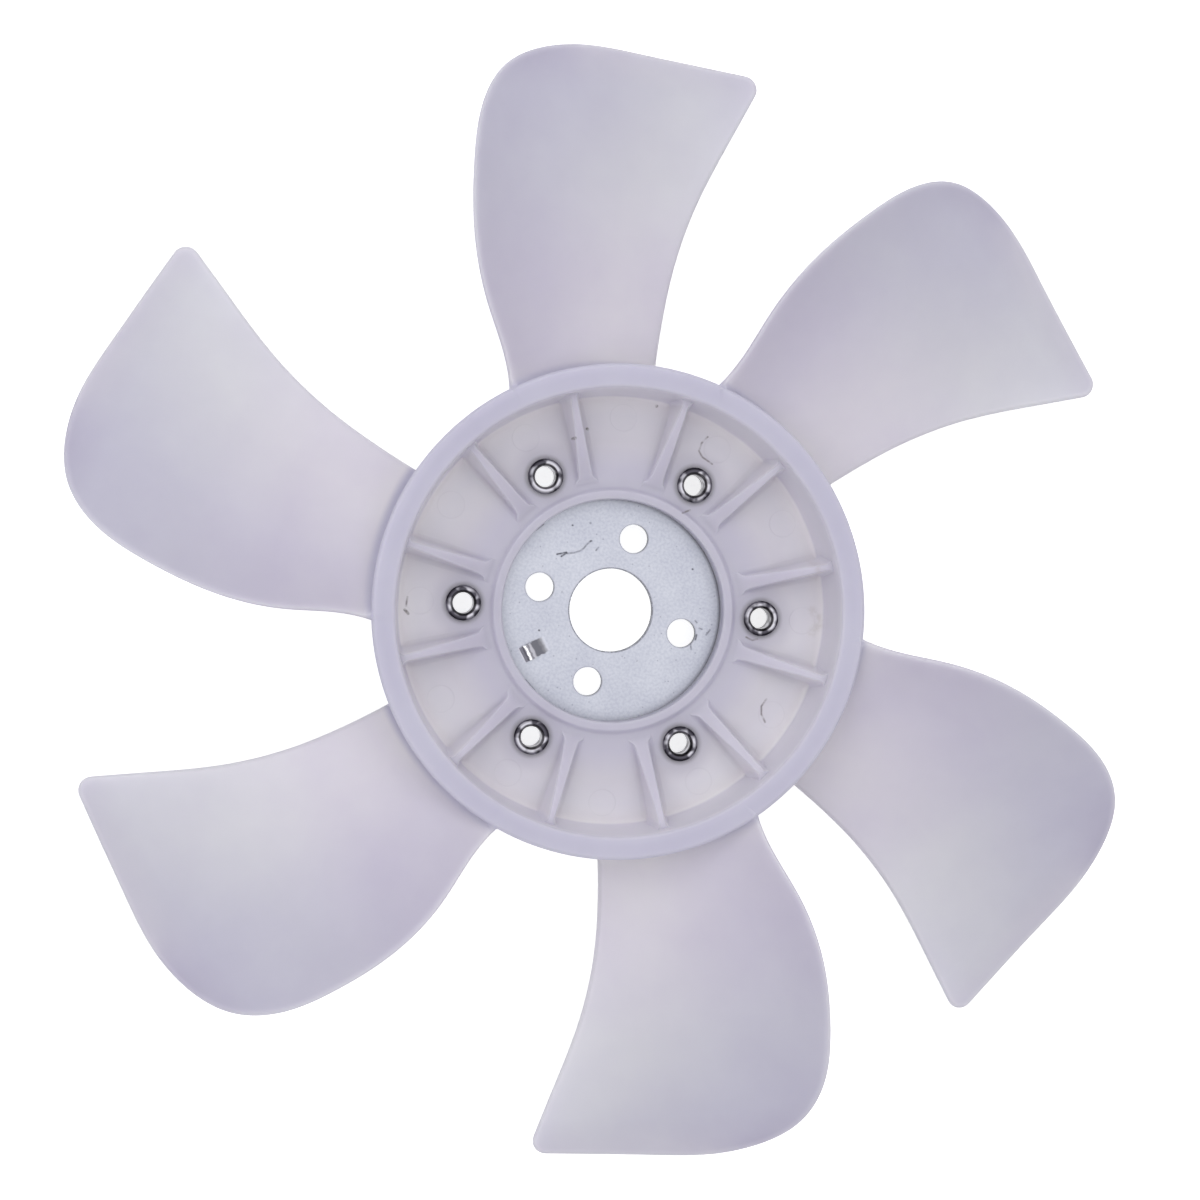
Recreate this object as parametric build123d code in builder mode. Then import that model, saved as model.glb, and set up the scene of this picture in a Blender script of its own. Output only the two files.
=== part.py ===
from build123d import *
import os

# Axial fan impeller: one plastic moulding with six blades, a steel mounting plate behind its web,
# and six hollow rivets that clamp the two together. Millimetres.
# The origin is on the bore axis at the plate's front face, and +Z points out of the open hub.

# Mounting plate
plate_t = 2.5
plate_margin = 9.3
pilot_bore_d = 25.0
stud_count = 4
stud_pcd = 45.0
stud_hole_d = 8.6

# Pressed-up tab on the plate, with its long ramp facing the bore
tab_angle = 225.0
tab_centre_r = 26.1
tab_length = 7.4
tab_width = 4.7
tab_height = 0.9
tab_flat = 1.5
tab_end_run = 1.3

# Rivets
rivet_count = 6
rivet_pcd = 89.4
rivet_angle = 15.0
rivet_shank_d = 8.5
rivet_bore_d = 6.2
rivet_crown_d = 10.5
rivet_crown_h = 1.1
rivet_crown_chamfer = 0.6
rivet_tail_d = 12.0
rivet_tail_h = 0.8
rivet_clearance = 0.05

# Hub web, with the opening that shows the plate
web_t = 6.0
web_flat_r = 50.0
web_foot_t = 4.0
opening_d = 66.4
lip_width = 3.0
lip_h = 1.0
lip_chamfer = 0.4

# Hub drum
rim_outer_d = 145.0
rim_width = 7.1
rim_z = 25.7
rim_chamfer = 0.7
drum_inner_draft = 1.3
drum_outer_draft = 4.5
drum_foot_chamfer = 1.2
drum_bottom_z = -12.0
drum_bottom_width = 4.5
drum_bottom_chamfer = 0.6
recess_draft = 0.5

# Ribs: the ridge climbs from the web to the drum wall, and the sides are drafted
rib_count = 12
rib_lip_gap = 2.3
rib_mid_r = 54.0
rib_mid_z = 15.3
rib_end_z = 21.0
rib_embed = 1.6
rib_ridge_t = 1.5
rib_web_t = 4.4
rib_sink = 2.0

# Blades: each section is an arc through three points (y, z) at its distance out from the axis
blade_angles = (65.2, 115.3, 180.5, 239.1, 303.4, 352.6)
blade_embed = 5.0
blade_inner_x = 60.0
blade_tip_corner = (153.3, -67.4)
blade_tip_corner_r = 4.2
blade_below_z = -30.0
blade_above_z = 60.0
blade_sections = (
    # distance out, thickness along the axis, leading point, middle point, trailing point
    (60.0, 4.8, (-26.0, -8.6), (1.0, 5.0), (28.0, 20.3)),
    (115.0, 2.9, (-56.0, -7.8), (-9.0, 8.2), (38.0, 45.0)),
    (172.0, 2.2, (-86.0, -8.5), (-30.0, -10.0), (26.0, 27.3)),
)
blade_leading_edge = (
    (blade_inner_x, -20.6),
    (70.0, -22.8),
    (79.5, -25.3),
    (97.0, -31.1),
    (116.6, -40.9),
    (137.0, -55.3),
    blade_tip_corner,
)
blade_trailing_edge = (
    blade_tip_corner,
    (159.2, -49.1),
    (164.6, -31.0),
    (168.4, -14.5),
    (168.0, -1.0),
    (162.5, 12.2),
    (150.5, 21.5),
    (133.4, 26.7),
    (112.0, 29.5),
    (92.9, 28.0),
    (79.5, 24.9),
    (71.0, 23.9),
    (blade_inner_x, 24.6),
)

os.makedirs("parts", exist_ok=True)

rivet_hole_r = rivet_shank_d / 2 + rivet_clearance
plate_r = rivet_pcd / 2 + plate_margin
rim_outer_r = rim_outer_d / 2
rim_inner_r = rim_outer_r - rim_width
drum_foot_r = rim_inner_r - drum_inner_draft
drum_bottom_outer_r = rim_outer_r - drum_outer_draft
drum_bottom_inner_r = drum_bottom_outer_r - drum_bottom_width
recess_r = drum_bottom_inner_r - recess_draft

# The mounting plate is blanked from sheet, and its tab is pressed up without thinning it
tab_inner_r = tab_centre_r - tab_length / 2
tab_outer_r = tab_centre_r + tab_length / 2
tab_shoulder_r = tab_outer_r - tab_end_run
tab_fold_r = tab_shoulder_r - tab_flat
tab_x = Vector(1, 0, 0).rotate(Axis.Z, tab_angle)
tab_normal = Vector(0, -1, 0).rotate(Axis.Z, tab_angle)
tab_plane = Plane((0, 0, 0), x_dir=tab_x, z_dir=tab_normal)

with BuildPart() as mounting_plate:
    with BuildSketch(Plane.XY.offset(-plate_t)):
        Circle(plate_r)
        Circle(pilot_bore_d / 2, mode=Mode.SUBTRACT)
        with PolarLocations(stud_pcd / 2, stud_count):
            Circle(stud_hole_d / 2, mode=Mode.SUBTRACT)
        with PolarLocations(rivet_pcd / 2, rivet_count, start_angle=rivet_angle):
            Circle(rivet_hole_r, mode=Mode.SUBTRACT)
    extrude(amount=plate_t)
    for side, sketch_mode in ((0, Mode.ADD), (-plate_t, Mode.SUBTRACT)):
        with BuildSketch(tab_plane):
            with BuildLine():
                Polyline(
                    (tab_inner_r, side),
                    (tab_fold_r, side + tab_height),
                    (tab_shoulder_r, side + tab_height),
                    (tab_outer_r, side),
                    close=True,
                )
            make_face()
        extrude(amount=tab_width / 2, both=True, mode=sketch_mode)

mounting_plate.part.label = "mounting_plate"

# One rib: drafted sides first, then cut to its climbing ridge
rib_start_r = opening_d / 2 + lip_width + rib_lip_gap
rib_end_r = rim_inner_r + rib_embed
rib_side_slope = (rib_web_t - rib_ridge_t) / (rib_end_z - web_t) / 2
rib_base_z = web_foot_t - rib_sink
rib_base_half = rib_ridge_t / 2 + (rib_end_z - rib_base_z) * rib_side_slope

with BuildPart() as rib:
    with BuildSketch(Plane.YZ.offset(rib_start_r)):
        with BuildLine():
            Polyline(
                (-rib_base_half, rib_base_z),
                (rib_base_half, rib_base_z),
                (rib_ridge_t / 2, rib_end_z),
                (-rib_ridge_t / 2, rib_end_z),
                close=True,
            )
        make_face()
    extrude(amount=rib_end_r - rib_start_r)
    with BuildSketch(Plane.XZ):
        with BuildLine():
            ridge = ThreePointArc((rib_start_r, web_t), (rib_mid_r, rib_mid_z), (rib_end_r, rib_end_z))
            Polyline(ridge @ 1, (rib_end_r, rib_base_z), (rib_start_r, rib_base_z), ridge @ 0)
        make_face()
    extrude(amount=rib_web_t, both=True, mode=Mode.INTERSECT)

# One blade, pointing along +X: a cambered, twisted sheet cut to its outline
with BuildPart() as blade:
    for distance, thickness, leading, middle, trailing in blade_sections:
        lift = Vector(0, thickness / 2)
        with BuildSketch(Plane.YZ.offset(distance)):
            with BuildLine():
                lower = ThreePointArc(
                    Vector(leading) - lift, Vector(middle) - lift, Vector(trailing) - lift
                )
                upper = ThreePointArc(
                    Vector(trailing) + lift, Vector(middle) + lift, Vector(leading) + lift
                )
                Line(lower @ 1, upper @ 0)
                Line(upper @ 1, lower @ 0)
            make_face()
    loft()
    with BuildSketch(Plane.XY.offset(blade_below_z)) as outline:
        with BuildLine():
            front = Spline(*blade_leading_edge)
            back = Spline(*blade_trailing_edge)
            Line(back @ 1, front @ 0)
        make_face()
        tip_corner = outline.vertices().sort_by_distance(blade_tip_corner)[0]
        fillet(tip_corner, radius=blade_tip_corner_r)
        Circle(rim_outer_r - blade_embed, mode=Mode.SUBTRACT)
    extrude(amount=blade_above_z - blade_below_z, mode=Mode.INTERSECT)

# The fan moulding: the hub turned from its section, then the ribs and blades
with BuildPart() as fan_moulding:
    with BuildSketch(Plane.XZ) as hub_section:
        with BuildLine():
            Polyline(
                (opening_d / 2, 0),
                (opening_d / 2, web_t + lip_h),
                (opening_d / 2 + lip_width, web_t + lip_h),
                (opening_d / 2 + lip_width, web_t),
                (web_flat_r, web_t),
                (drum_foot_r, web_foot_t),
                (rim_inner_r, rim_z),
                (rim_outer_r, rim_z),
                (drum_bottom_outer_r, drum_bottom_z),
                (drum_bottom_inner_r, drum_bottom_z),
                (recess_r, 0),
                close=True,
            )
        make_face()
        corners = hub_section.vertices()
        chamfer(corners.group_by(Axis.Y)[-1], length=rim_chamfer)
        chamfer(corners.group_by(Axis.Y)[0], length=drum_bottom_chamfer)
        chamfer(corners.sort_by_distance((drum_foot_r, web_foot_t))[0], length=drum_foot_chamfer)
        lip_corners = corners.filter_by_position(Axis.Y, web_t + lip_h / 2, web_t + lip_h * 3 / 2)
        chamfer(lip_corners, length=lip_chamfer)
    revolve(axis=Axis.Z)
    with PolarLocations(0, rib_count):
        add(rib.part)
    for angle in blade_angles:
        with PolarLocations(0, 1, start_angle=angle):
            add(blade.part)
    with PolarLocations(rivet_pcd / 2, rivet_count, start_angle=rivet_angle):
        Cylinder(
            rivet_hole_r,
            web_t,
            align=(Align.CENTER, Align.CENTER, Align.MIN),
            mode=Mode.SUBTRACT,
        )

fan_moulding.part.label = "fan_moulding"

# One hollow rivet on the bore axis: shank, rolled crown on the web and rolled tail under the plate
with BuildPart() as rivet:
    with BuildSketch(Plane.XZ) as rivet_section:
        with BuildLine():
            Polyline(
                (rivet_bore_d / 2, -plate_t - rivet_tail_h),
                (rivet_tail_d / 2, -plate_t - rivet_tail_h),
                (rivet_tail_d / 2, -plate_t),
                (rivet_shank_d / 2, -plate_t),
                (rivet_shank_d / 2, web_t),
                (rivet_crown_d / 2, web_t),
                (rivet_crown_d / 2, web_t + rivet_crown_h),
                (rivet_bore_d / 2, web_t + rivet_crown_h),
                close=True,
            )
        make_face()
        rolled = rivet_section.vertices()
        chamfer(rolled.group_by(Axis.Y)[-1], length=rivet_crown_chamfer)
    revolve(axis=Axis.Z)

with BuildPart() as hub_rivets:
    with PolarLocations(rivet_pcd / 2, rivet_count, start_angle=rivet_angle):
        add(rivet.part)

hub_rivets.part.label = "hub_rivets"

export_step(mounting_plate.part, "parts/mounting_plate.step")
export_step(fan_moulding.part, "parts/fan_moulding.step")
export_step(hub_rivets.part, "parts/hub_rivets.step")
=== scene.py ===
"""Axial fan impeller: looks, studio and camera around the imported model. Sizes are in millimetres."""

import math

import bmesh
import bpy
import numpy as np
from mathutils import Euler, Matrix, Vector
from mathutils.geometry import delaunay_2d_cdt


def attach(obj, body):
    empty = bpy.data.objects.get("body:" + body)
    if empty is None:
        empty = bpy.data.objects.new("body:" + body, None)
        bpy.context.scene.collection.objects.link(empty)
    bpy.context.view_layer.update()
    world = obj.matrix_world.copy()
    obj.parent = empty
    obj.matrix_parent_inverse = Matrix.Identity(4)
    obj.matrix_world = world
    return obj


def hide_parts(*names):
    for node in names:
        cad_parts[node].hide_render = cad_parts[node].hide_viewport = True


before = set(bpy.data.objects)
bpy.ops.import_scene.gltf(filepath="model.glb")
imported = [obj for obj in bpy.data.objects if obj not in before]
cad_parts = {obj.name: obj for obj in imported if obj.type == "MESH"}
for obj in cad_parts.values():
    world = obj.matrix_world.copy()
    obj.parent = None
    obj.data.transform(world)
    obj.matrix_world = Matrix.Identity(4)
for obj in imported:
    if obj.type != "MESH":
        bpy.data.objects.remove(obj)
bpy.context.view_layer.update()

# Hub drum
# The drum, its web and the raised lip round the opening are the core of one injection moulding in
# natural polypropylene. Mould corners are radiused, so no edge of it is sharp.

opening_r = 33.2
lip_width = 3.0
lip_slope = 0.5
lip_top_z = 7.0
web_top_z = 6.0
web_flat_r = 50.0
web_foot_z = 4.0
wall_foot_r = 64.1
rim_inner_r = 65.4
rim_outer_r = 72.5
rim_z = 25.7
drum_bottom_r = 68.0
drum_bottom_inner_r = 63.5
drum_bottom_z = -12.0
recess_r = 63.0
hub_facets = 240
corner_step = math.radians(15)
nearly_straight = math.radians(89)

hub_corners = (
    # radius, height, corner radius
    (opening_r, 0.0, 0.2),
    (opening_r, lip_top_z, 0.6),
    (opening_r + lip_width - lip_slope, lip_top_z, 0.8),
    (opening_r + lip_width + lip_slope, web_top_z, 1.4),
    (web_flat_r, web_top_z, 12.0),
    (wall_foot_r, web_foot_z, 1.8),
    (rim_inner_r, rim_z, 1.0),
    (rim_outer_r, rim_z, 1.3),
    (drum_bottom_r, drum_bottom_z, 1.0),
    (drum_bottom_inner_r, drum_bottom_z, 1.0),
    (recess_r, 0.0, 1.0),
)


def rounded(corners):
    """Points of a closed outline whose corners (u, v, radius) are turned into arcs."""
    points = []
    for before, corner, after in zip(corners[-1:] + corners[:-1], corners, corners[1:] + corners[:1]):
        tip, radius = Vector(corner[:2]), corner[2]
        inward = (Vector(before[:2]) - tip).normalized()
        onward = (Vector(after[:2]) - tip).normalized()
        half_turn = inward.angle(onward) / 2
        if radius == 0 or half_turn > nearly_straight:
            points.append(tip)
            continue
        centre = tip + (inward + onward).normalized() * radius / math.sin(half_turn)
        start = tip + inward * radius / math.tan(half_turn) - centre
        sweep = math.pi - 2 * half_turn
        side = 1 if inward.cross(onward) < 0 else -1
        steps = max(2, math.ceil(sweep / corner_step))
        for step in range(steps + 1):
            points.append(centre + Matrix.Rotation(side * sweep * step / steps, 2) @ start)
    return points


def solid_mesh(name, points, faces):
    """A mesh in metres from points in millimetres."""
    mesh = bpy.data.meshes.new(name)
    mesh.from_pydata([Vector(p) / 1000 for p in points], [], faces)
    mesh.validate()
    return mesh


def turned(outline, facets):
    """Points and faces of a closed outline (radius, height) turned about the axis."""
    count = len(outline)
    points, faces = [], []
    for facet in range(facets):
        angle = math.tau * facet / facets
        points += [(r * math.cos(angle), r * math.sin(angle), z) for r, z in outline]
        for k in range(count):
            here, there = facet * count, (facet + 1) % facets * count
            up = (k + 1) % count
            faces.append((here + k, here + up, there + up, there + k))
    return points, faces


def facing_out(mesh):
    """The same mesh with its faces turned outward."""
    sheet = bmesh.new()
    sheet.from_mesh(mesh)
    bmesh.ops.recalc_face_normals(sheet, faces=sheet.faces)
    sheet.to_mesh(mesh)
    sheet.free()
    return mesh


def shown(name, mesh):
    """An object in the scene that holds the mesh."""
    piece = bpy.data.objects.new(name, mesh)
    bpy.context.scene.collection.objects.link(piece)
    return piece


hub_mesh = facing_out(solid_mesh("hub_drum", *turned(rounded(hub_corners), hub_facets)))

# Ribs
# Twelve ribs stiffen the web against the drum wall. Each is drafted to leave the mould, climbs from
# the web to the wall, and runs into both with a small fillet.

rib_count = 12
rib_start_r = 38.5
rib_end_r = 67.0
rib_middle = (54.0, 15.3)
rib_end_z = 21.0
rib_ridge_half = 0.75
rib_draft = 0.097
rib_fillet = 1.6
rib_fillet_rises = (0.0, 0.12, 0.4, 0.9, rib_fillet)
rib_side_share = 0.7
rib_ridge_round = 0.55
rib_ridge_turns = (30, 60, 90)
rib_base_z = 2.0
rib_rows = 34


def circle_through(a, b, c):
    """Centre and radius of the circle through three points (u, v)."""
    rows = np.array([(p[0] - a[0], p[1] - a[1]) for p in (b, c)], float)
    centre = np.linalg.solve(2 * rows, (rows**2).sum(axis=1)) + np.array(a, float)
    return centre, float(np.hypot(*(np.array(a) - centre)))


def fillet_rise(distance, radius):
    """How far a fillet of that radius stands out, at a distance from the wall it meets."""
    if distance >= radius:
        return 0.0
    reach = radius - max(distance, 0.0)
    return radius - math.sqrt(radius * radius - reach * reach)


def web_z(radius):
    """Height of the web's open face."""
    slope = (web_foot_z - web_top_z) / (wall_foot_r - web_flat_r)
    return web_top_z + max(0.0, radius - web_flat_r) * slope


def wall_inner_r(height):
    """Radius of the drum's inner wall, which leans back a little."""
    return wall_foot_r + (height - web_foot_z) / (rim_z - web_foot_z) * (rim_inner_r - wall_foot_r)


ridge_start, ridge_end = (rib_start_r, web_top_z), (rib_end_r, rib_end_z)
ridge_centre, ridge_radius = circle_through(ridge_start, rib_middle, ridge_end)


def rib_solid():
    """Points and faces of one rib along +X: a ring of points round it at each distance out."""
    points, faces, ring = [], [], 0
    for row in range(rib_rows + 1):
        x = rib_start_r + (rib_end_r - rib_start_r) * row / rib_rows
        ridge = ridge_centre[1] + math.sqrt(ridge_radius**2 - (x - ridge_centre[0]) ** 2)
        floor = web_z(x)
        top = ridge - rib_ridge_round
        levels = [rib_base_z, floor + (top - floor) * rib_side_share, top]
        levels += [min(floor + rise, top) for rise in rib_fillet_rises]
        side = []
        for z in sorted(levels):
            half = rib_ridge_half + (rib_end_z - z) * rib_draft
            half += fillet_rise(z - floor, rib_fillet) + fillet_rise(wall_inner_r(z) - x, rib_fillet)
            side.append((half, z))
        crown_half = side[-1][0]
        for turn in rib_ridge_turns:
            angle = math.radians(turn)
            inset = rib_ridge_round * (1 - math.cos(angle))
            side.append((crown_half - inset, top + rib_ridge_round * math.sin(angle)))
        ring = 2 * len(side)
        points += [(x, -half, z) for half, z in side]
        points += [(x, half, z) for half, z in reversed(side)]
    for row in range(rib_rows):
        for k in range(ring):
            here, there, up = row * ring, (row + 1) * ring, (k + 1) % ring
            faces.append((here + k, here + up, there + up, there + k))
    faces.append(tuple(range(ring)))
    faces.append(tuple(range(rib_rows * ring, (rib_rows + 1) * ring)))
    return points, faces


rib_mesh = facing_out(solid_mesh("rib", *rib_solid()))

# Blades
# Six swept blades, unevenly spaced to break up the blade noise. They are part of the moulding too:
# cambered and twisted, thick at the drum and thin at the tip, with full-round edges.

blade_angles = (65.2, 115.3, 180.5, 239.1, 303.4, 352.6)
blade_sections = (
    # distance out, thickness along the axis, leading point, middle point, trailing point (y, z)
    (60.0, 4.8, (-26.0, -8.6), (1.0, 5.0), (28.0, 20.3)),
    (115.0, 2.9, (-56.0, -7.8), (-9.0, 8.2), (38.0, 45.0)),
    (172.0, 2.2, (-86.0, -8.5), (-30.0, -10.0), (26.0, 27.3)),
)
tip_corner = (153.3, -67.4)
tip_corner_r = 4.2
leading_edge = (
    (60.0, -20.6),
    (70.0, -22.8),
    (79.5, -25.3),
    (97.0, -31.1),
    (116.6, -40.9),
    (137.0, -55.3),
    tip_corner,
)
trailing_edge = (
    tip_corner,
    (159.2, -49.1),
    (164.6, -31.0),
    (168.4, -14.5),
    (168.0, -1.0),
    (162.5, 12.2),
    (150.5, 21.5),
    (133.4, 26.7),
    (112.0, 29.5),
    (92.9, 28.0),
    (79.5, 24.9),
    (71.0, 23.9),
    (60.0, 24.6),
)
blade_root_r = 66.5
root_arc_points = 40
root_corner_r = 2.5
corner_reach = 1.45
blade_fillet = 3.0
edge_round = 1.2
edge_turns = (0, 25, 50, 72, 90)
outline_step = 1.2
arc_overrun = 0.2
halvings = 30
root_rows = (0.0, 0.25, 0.6, 1.1, 1.8, 2.6, 3.6)
root_row_side, root_row_step = 34, 0.8
settling_rounds = 3
grid_start_gap = 3.5
grid_step = 2.4
grid_row = 0.866
clear_of_edge = 0.8
inside_only = 1
join_gap = 1e-6
tiny = 1e-12


def spline_points(knots, step):
    """Points a step apart on the natural cubic spline through the knots."""
    knots = np.array(knots, float)
    chord = np.r_[0, np.cumsum(np.hypot(*np.diff(knots, axis=0).T))]
    gap = np.diff(chord)
    matrix = np.eye(len(knots))
    right = np.zeros_like(knots)
    for k in range(1, len(knots) - 1):
        matrix[k, k - 1 : k + 2] = gap[k - 1], 2 * (gap[k - 1] + gap[k]), gap[k]
        right[k] = 6 * ((knots[k + 1] - knots[k]) / gap[k] - (knots[k] - knots[k - 1]) / gap[k - 1])
    bend = np.linalg.solve(matrix, right)
    points = []
    for k, span in enumerate(gap):
        for t in np.arange(math.ceil(span / step)) / math.ceil(span / step):
            a, b = (1 - t) * span, t * span
            curve = (bend[k] * (a**3 - a * span**2) + bend[k + 1] * (b**3 - b * span**2)) / (6 * span)
            points.append(Vector(knots[k] * (1 - t) + knots[k + 1] * t + curve))
    points.append(Vector(knots[-1]))
    return points


def blade_outline():
    """The blade's outline seen along the axis, closed by an arc inside the drum wall."""
    front = [p for p in spline_points(leading_edge, outline_step) if p.length > blade_root_r]
    back = [p for p in spline_points(trailing_edge, outline_step) if p.length > blade_root_r]
    start, end = (math.atan2(p.y, p.x) for p in (back[-1], front[0]))
    turns = np.linspace(start, end, root_arc_points)
    root = [Vector((math.cos(turn), math.sin(turn))) * blade_root_r for turn in turns]
    corners = ((Vector(tip_corner), tip_corner_r), (root[0], root_corner_r), (root[-1], root_corner_r))
    runs = []
    for k, run in enumerate((front, back, root)):
        ends = corners[k], corners[k - 1]
        runs.append([p for p in run if all((p - c).length > corner_reach * r for c, r in ends)])
    outline = []
    for k, (corner, radius) in enumerate(corners):
        onward = runs[(k + 1) % 3]
        eased = rounded(((*runs[k][-1], 0), (*corner, radius), (*onward[0], 0)))
        outline += runs[k] + eased[1:-1]
    return outline


def across_stations(x, values):
    """The parabola through one value at each blade section, at distance x."""
    a, b, c = (section[0] for section in blade_sections)
    weights = (
        (x - b) * (x - c) / ((a - b) * (a - c)),
        (x - a) * (x - c) / ((b - a) * (b - c)),
        (x - a) * (x - b) / ((c - a) * (c - b)),
    )
    return sum(weight * value for weight, value in zip(weights, values))


section_arcs = []
for _, _, first, middle, last in blade_sections:
    arc_centre, arc_radius = circle_through(first, middle, last)
    arc_start = math.atan2(first[1] - arc_centre[1], first[0] - arc_centre[0])
    arc_end = math.atan2(last[1] - arc_centre[1], last[0] - arc_centre[0])
    section_arcs.append((arc_centre, arc_radius, arc_start, arc_end))


def along_arc(arc, share):
    """The point (y, z) at a share of the way along a section's arc."""
    centre, radius, start, end = arc
    turn = start + (end - start) * share
    return centre + radius * np.array((math.cos(turn), math.sin(turn)))


def blade_z(x, y):
    """Height of the blade's middle surface at a point of its outline's plane, found by halving."""
    low, high = -arc_overrun, 1 + arc_overrun
    for _ in range(halvings):
        share = (low + high) / 2
        spots = [along_arc(arc, share) for arc in section_arcs]
        if across_stations(x, [spot[0] for spot in spots]) < y:
            low = share
        else:
            high = share
    return across_stations(x, [spot[1] for spot in spots])


def wall_outer_r(height):
    """Radius of the drum's outer wall, which tapers towards its lower end."""
    share = (height - drum_bottom_z) / (rim_z - drum_bottom_z)
    return drum_bottom_r + share * (rim_outer_r - drum_bottom_r)


def half_thickness(x, y, z):
    """Half the blade's thickness along the axis, with the fillet that it grows at the drum wall."""
    thickness = across_stations(x, [section[1] for section in blade_sections])
    gap = math.hypot(x, y) - wall_outer_r(z)
    return thickness / 2 + fillet_rise(gap, blade_fillet)


def filling(ring):
    """Points that fill a ring: close rows beside the drum wall, then an even grid out to the tip."""
    loop = np.array([(p.x, p.y) for p in ring])

    def fits(x, y):
        gaps = np.hypot(loop[:, 0] - x, loop[:, 1] - y)
        here, there = loop, np.roll(loop, -1, axis=0)
        crossing = (here[:, 1] > y) != (there[:, 1] > y)
        share = (y - here[:, 1]) / (there[:, 1] - here[:, 1] + tiny)
        run = here[:, 0] + share * (there[:, 0] - here[:, 0])
        return gaps.min() > outline_step * clear_of_edge and (crossing & (run > x)).sum() % 2 == 1

    points = []
    for gap in root_rows:
        for k in range(-root_row_side, root_row_side + 1):
            turn = math.radians(k * root_row_step)
            radius = wall_outer_r(0) + gap
            for _ in range(settling_rounds):
                z = blade_z(radius * math.cos(turn), radius * math.sin(turn))
                radius = wall_outer_r(z) + gap
            x, y = radius * math.cos(turn), radius * math.sin(turn)
            if fits(x, y):
                points.append(Vector((x, y)))
    low, high = loop.min(axis=0), loop.max(axis=0)
    for row in range(int((high[1] - low[1]) / grid_step / grid_row) + 1):
        y = low[1] + row * grid_step * grid_row
        for column in range(int((high[0] - low[0]) / grid_step) + 1):
            x = low[0] + (column + row % 2 / 2) * grid_step
            if math.hypot(x, y) > rim_outer_r + grid_start_gap and fits(x, y):
                points.append(Vector((x, y)))
    return points


def blade_solid():
    """Points and faces of one blade along +X: rings round its edge, and a filled face each side."""
    outline = blade_outline()
    count = len(outline)
    area = sum(p.cross(q) for p, q in zip(outline, outline[1:] + outline[:1]))
    if area < 0:
        outline.reverse()
    normals = []
    for k in range(count):
        along = (outline[(k + 1) % count] - outline[k - 1]).normalized()
        normals.append(Vector((-along.y, along.x)))

    rings = []
    for turn in edge_turns:
        inset = edge_round * (1 - math.cos(math.radians(turn)))
        rings.append(([p + n * inset for p, n in zip(outline, normals)], math.sin(math.radians(turn))))
    inner_ring = rings[-1][0]
    inner_face = [list(range(count))]
    flat, _, triangles, origins, _, _ = delaunay_2d_cdt(
        inner_ring + filling(inner_ring), [], inner_face, inside_only, join_gap
    )
    points, faces = [], []
    upper, lower = [], []
    for ring, rise in rings:
        for side, index in ((1, upper), (-1, lower)):
            if rise == 0 and side == -1:
                index.append(upper[-1])
                continue
            index.append(len(points))
            for p in ring:
                z = blade_z(p.x, p.y)
                points.append((p.x, p.y, z + side * rise * half_thickness(p.x, p.y, z)))
    for index, flip in ((upper, False), (lower, True)):
        for inner, outer in zip(index[1:], index):
            for k in range(count):
                up = (k + 1) % count
                face = (outer + k, outer + up, inner + up, inner + k)
                faces.append(face[::-1] if flip else face)
    for index, side in ((upper, 1), (lower, -1)):
        place = []
        for spot, origin in zip(flat, origins):
            if origin and origin[0] < count:
                place.append(index[-1] + origin[0])
            else:
                z = blade_z(spot.x, spot.y)
                place.append(len(points))
                points.append((spot.x, spot.y, z + side * half_thickness(spot.x, spot.y, z)))
        for triangle in triangles:
            face = tuple(place[k] for k in triangle)
            faces.append(face if side == 1 else face[::-1])
    return points, faces


blade_mesh = facing_out(solid_mesh("blade", *blade_solid()))

# The moulding as one piece
# Drum, ribs and blades leave the mould together, so they are joined into one skin, and the rivet
# holes are cut through the web.

rivet_count = 6
rivet_pitch_r = 44.7
rivet_angle = 15.0
rivet_hole_r = 4.3
hole_low_z, hole_high_z = -3.0, 9.0
near_axis = 0.01
hole_facets = 48
moulding_crease = math.radians(40)


def joined(name, mesh, places):
    """One mesh with a copy of the given mesh at each place."""
    points, faces = [], []
    for place in places:
        start = len(points)
        points += [place @ vertex.co * 1000 for vertex in mesh.vertices]
        faces += [tuple(start + k for k in face.vertices) for face in mesh.polygons]
    return solid_mesh(name, points, faces)


def about_axis(degrees):
    """A turn about the fan's axis."""
    return Matrix.Rotation(math.radians(degrees), 4, "Z")


rib_set = joined("ribs", rib_mesh, [about_axis(360 * k / rib_count) for k in range(rib_count)])
blade_set = joined("blades", blade_mesh, [about_axis(angle) for angle in blade_angles])
hole_outline = [
    (near_axis, hole_low_z),
    (rivet_hole_r, hole_low_z),
    (rivet_hole_r, hole_high_z),
    (near_axis, hole_high_z),
]
hole_mesh = facing_out(solid_mesh("rivet_hole", *turned(hole_outline, hole_facets)))
hole_places = [
    about_axis(rivet_angle + 360 * k / rivet_count) @ Matrix.Translation((rivet_pitch_r / 1000, 0, 0))
    for k in range(rivet_count)
]
hole_set = joined("rivet_holes", hole_mesh, hole_places)


def combined(base, other, operation):
    """The base mesh with the other mesh joined to it or cut from it."""
    base_piece, other_piece = shown("base", base), shown("other", other)
    step = base_piece.modifiers.new("step", "BOOLEAN")
    step.object, step.operation, step.solver = other_piece, operation, "MANIFOLD"
    depsgraph = bpy.context.evaluated_depsgraph_get()
    result = bpy.data.meshes.new_from_object(base_piece.evaluated_get(depsgraph))
    for piece in (base_piece, other_piece):
        bpy.data.objects.remove(piece)
    return result


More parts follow.
